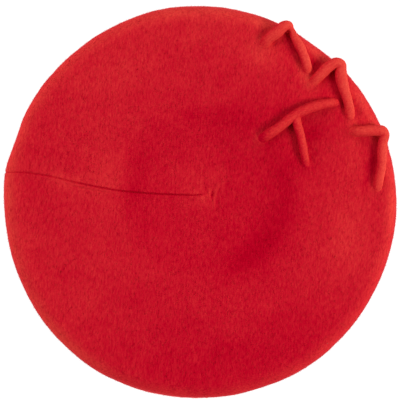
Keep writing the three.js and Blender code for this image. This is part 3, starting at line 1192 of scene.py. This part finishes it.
@dataclass
class Nap:
    """A coat of short tapered fibres rooted in a felt skin. Lengths are in millimetres.

    The slopes are the upward share of the felt's direction where a coat starts and where it is full.
    """

    name: str
    zone: Zone
    slot: str
    finish: FibreFinish
    count: int
    seed: int
    length: tuple[float, float] = (1.4, 3.0)
    thickness: float = 0.10
    rise: tuple[float, float] = (4.0, 16.0)
    nap_turn: float = 85.0
    spread: float = 26.0
    dip: float = 0.3
    curl: float = 0.22
    tip_rise: float = 0.2
    knee_size: float = 0.85
    root_depth: float = 0.25
    outer_rings: int = 190
    top_slopes: tuple[float, float] = (0.3, 0.8)
    rim_slopes: tuple[float, float] = (0.95, 0.75)
    under_slopes: tuple[float, float] = (-0.75, -0.4)

    def _weights(self, skin: Skin) -> Array:
        """Work out how likely each face is to carry a fibre, by its area and zone.

        Args:
            skin: A skin that carries the coat.

        Returns:
            A weight for each face between the rings.
        """
        rings = skin.rings
        one = rings[1:] - rings[:-1]
        other = np.roll(rings, -1, axis=1)[:-1] - rings[:-1]
        area = np.linalg.norm(np.cross(one, other), axis=-1)
        normal = skin.normals()[:-1]
        if self.zone is Zone.CORDS:
            return area
        outer = np.arange(len(area))[:, None] < self.outer_rings
        upward = normal[..., 2]
        if self.zone is Zone.TOP:
            return area * outer * smooth(*self.top_slopes, upward)
        return area * outer * smooth(*self.rim_slopes, upward) * smooth(*self.under_slopes, upward)

    def _roots(self, skin: Skin, count: int, rng: np.random.Generator) -> tuple[Array, Array]:
        """Pick where fibres stand.

        Args:
            skin: The skin that carries them.
            count: How many there are.
            rng: The coat's seeded random source.

        Returns:
            The root points and the directions out of the felt there.
        """
        rings, normals = skin.rings, skin.normals()
        weights = self._weights(skin)
        picked = rng.choice(weights.size, count, p=(weights / weights.sum()).ravel())
        ring, side = np.unravel_index(picked, weights.shape)
        nextside = (side + 1) % rings.shape[1]
        u, v = rng.random((2, count, 1))

        def between(grid: Array) -> Array:
            """Return the grid's values inside the picked faces."""
            near, far = (grid[at, side] * (1 - u) + grid[at, nextside] * u for at in (ring, ring + 1))
            return near * (1 - v) + far * v

        return between(rings), unit(between(normals))

    def _fibres(self, root: Array, normal: Array, rng: np.random.Generator) -> Array:
        """Form the fibres, each bent at a knee half-way along.

        Args:
            root: The points where they stand.
            normal: The directions out of the felt there.
            rng: The coat's seeded random source.

        Returns:
            The corners of each fibre.
        """
        count = len(root)
        if self.zone is Zone.TOP:
            lean = self.nap_turn + rng.normal(0, self.spread, count)
            turn = np.radians(lean) + math.pi * rng.integers(0, 2, count)
        else:
            turn = rng.uniform(0, 2 * math.pi, count)
        lying = np.column_stack([np.cos(turn), np.sin(turn), rng.normal(0, self.dip, count)])
        lying = unit(lying - normal * np.sum(lying * normal, axis=1, keepdims=True))
        rise = np.radians(rng.uniform(*self.rise, count))[:, None]
        length = rng.uniform(*self.length, count)[:, None]
        curl = rng.normal(0, self.curl, count)[:, None]
        aside = np.cross(normal, lying)
        leaving = lying * np.cos(rise) + normal * np.sin(rise)
        end_rise = rise * self.tip_rise
        arriving = unit(lying * np.cos(end_rise) + normal * np.sin(end_rise) + aside * curl)
        knee = root + leaving * length / 2
        foot = root - leaving * self.root_depth
        thick = self.thickness / 2
        corners = []
        for centre, size in ((foot, thick), (knee, thick * self.knee_size)):
            for spoke in np.radians(SPOKES):
                corners.append(centre + size * (aside * math.cos(spoke) + normal * math.sin(spoke)))
        return np.stack([*corners, knee + arriving * length / 2], axis=1)

    def build(self, skins: list[Skin]) -> bpy.types.Object:
        """Make the coat's mesh on its skins.

        Args:
            skins: The skins that carry the coat, in the frame's place.

        Returns:
            The object.
        """
        rng = np.random.default_rng(self.seed)
        roots, outward = [], []
        for skin in skins:
            root, normal = self._roots(skin, self.count // len(skins), rng)
            roots.append(root)
            outward.append(normal)
        fibres = self._fibres(np.vstack(roots), np.vstack(outward), rng)
        starts = np.arange(len(fibres))[:, None, None] * fibres.shape[1]
        faces = (starts + np.array(FIBRE_FACES)).reshape(-1, 3).tolist()
        made = mesh_object(self.name, fibres.reshape(-1, 3), faces, self.finish.material())
        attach(made, "root")
        return made


# ---- The studio ----
@dataclass(frozen=True)
class Lamp:
    """A square soft light that faces the beret. Angles are in degrees and lengths in metres."""

    name: str
    turn: float
    rise: float
    distance: float
    side: float
    watts: float

    def build(self) -> bpy.types.Object:
        """Make the light.

        Returns:
            The light's object.
        """
        data = bpy.data.lights.new(self.name, "AREA")
        data.size, data.energy = self.side, self.watts
        made = scene_object(self.name, data)
        flat, up = math.radians(self.turn), math.radians(self.rise)
        away = Vector((math.cos(flat) * math.cos(up), math.sin(flat) * math.cos(up), math.sin(up)))
        made.location = away * self.distance
        made.rotation_euler = away.to_track_quat("Z", "Y").to_euler()
        return made


# Each row: turn from +X, rise above the horizon, distance from the origin, side, watts.
LAMPS = (
    Lamp("key", -15.0, 38.0, 3.0, 0.95, 60.0),
    Lamp("side_fill", 180.0, 27.0, 3.0, 1.6, 42.0),
    Lamp("back_fill", 92.0, 35.0, 3.0, 1.6, 25.0),
)


@dataclass
class Studio:
    """The white sweep, the surroundings and the camera, in metres. sweep_gap is in millimetres."""

    sweep_radius: float = 6.0
    sweep_gap: float = 0.05
    sweep_sides: int = 96
    lens: float = 200.0
    sensor: float = 36.0
    view_width: float = 0.2859
    view_height: float = 0.0145
    view_middle: tuple[float, float] = (-0.00007, 0.00153)
    ambient: float = 0.16
    backdrop: float = 0.95

    def camera(self) -> bpy.types.Object:
        """Make the camera straight above the beret.

        Returns:
            The camera's object.
        """
        data = bpy.data.cameras.new("camera")
        data.lens, data.sensor_width = self.lens, self.sensor
        made = scene_object("camera", data)
        distance = self.view_width * self.lens / self.sensor
        made.location = (*self.view_middle, self.view_height + distance)
        bpy.context.scene.camera = made
        return made

    def sweep(self) -> bpy.types.Object:
        """Make the round white floor that the beret lies on.

        Returns:
            The floor's object.
        """
        turns = np.linspace(0, 2 * math.pi, self.sweep_sides, endpoint=False)
        rim = np.column_stack([np.cos(turns), np.sin(turns), 0 * turns]) * self.sweep_radius / MM
        rim[:, 2] = -self.sweep_gap
        made = mesh_object("sweep", rim, [list(range(self.sweep_sides))], SweepFinish().material())
        return made

    def surroundings(self) -> None:
        """Fill the studio with soft white light, over a pale backdrop."""
        world = bpy.data.worlds.new("studio")
        bpy.context.scene.world = world
        graph = ShaderGraph(world)
        seen = graph.value("ShaderNodeLightPath", {}, {}, "Is Camera Ray")
        strength = self.ambient + seen * (self.backdrop - self.ambient)
        shader = graph.node("ShaderNodeBackground", {}, {"Color": (1, 1, 1, 1), "Strength": strength})
        graph.node("ShaderNodeOutputWorld", {}, {"Surface": shader.outputs[0]})

    def build(self) -> None:
        """Make the camera, the sweep, the lights and the surroundings."""
        self.camera()
        self.sweep()
        for lamp in LAMPS:
            lamp.build()
        self.surroundings()
        bpy.context.scene.view_settings.view_transform = "Standard"


# ---- Putting it together ----
CROWN_FELT = FeltFinish(
    "crown_felt", deep=(0.48, 0.0, 0.0145), middle=(0.663, 0.0, 0.0243), light=(0.846, 0.05, 0.042)
)
CORD_FELT = FeltFinish(
    "cord_felt",
    deep=(0.62, 0.005, 0.022),
    middle=(0.80, 0.025, 0.032),
    light=(0.88, 0.078, 0.054),
    contrast=1.6,
    cloud_contrast=0.35,
    middle_share=0.3,
    streak_length=1.8,
    nap_turn=40.0,
    sheen=0.3,
    sheen_tint=(1.0, 0.20, 0.15),
)
LIGHT_FIBRE = FibreFinish("light_fibre", (0.80, 0.014, 0.03))
RIM_FIBRE = FibreFinish("rim_fibre", (0.80, 0.035, 0.035))
DEEP_FIBRE = FibreFinish("deep_fibre", (0.50, 0.002, 0.014))
# Each row: name, zone, slot, finish, number of fibres, seed, and then their length, thickness and rise.
COATS = (
    Nap("crown_nap_light", Zone.TOP, "crown_felt", LIGHT_FIBRE, 9000, 21),
    Nap("crown_nap_deep", Zone.TOP, "crown_felt", DEEP_FIBRE, 8000, 22),
    Nap("rim_fuzz", Zone.RIM, "crown_felt", RIM_FIBRE, 9000, 23, (0.8, 2.0), 0.07, (15.0, 60.0)),
    Nap("cord_fuzz", Zone.CORDS, "cord_felt", LIGHT_FIBRE, 5000, 24, (0.6, 1.6), 0.07, (8.0, 45.0)),
)
CORD_SEED = 40
SEEDS_PER_CORD = 2


def report(made: bpy.types.Object) -> None:
    """Log a piece's name and how many triangles it has."""
    triangles = sum(len(face.vertices) - 2 for face in made.data.polygons)
    logging.info("%s: %d triangles", made.name, triangles)


def main() -> None:
    """Build the beret in its frame, then the studio round it."""
    logging.basicConfig(level=logging.INFO, format="%(message)s")
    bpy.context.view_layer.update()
    Studio().build()
    form = CrownForm()
    cords = []
    for number, (name, route) in enumerate(CORD_ROUTES.items()):
        shades = INNER_SHADES if name.startswith("inner") else {}
        cords.append(FeltCord(name, form, route, CORD_SEED + SEEDS_PER_CORD * number, **shades))
    crown, crown_skin, shift = Crown(form, cords).build(CROWN_FELT.material())
    report(crown)
    cord_finish = CORD_FELT.material()
    cord_skins = []
    for cord in cords:
        made, skin = cord.build(shift, cord_finish)
        cord_skins.append(skin)
        report(made)
    for coat in COATS:
        report(coat.build(cord_skins if coat.zone is Zone.CORDS else [crown_skin]))


if __name__ == "__main__":
    main()
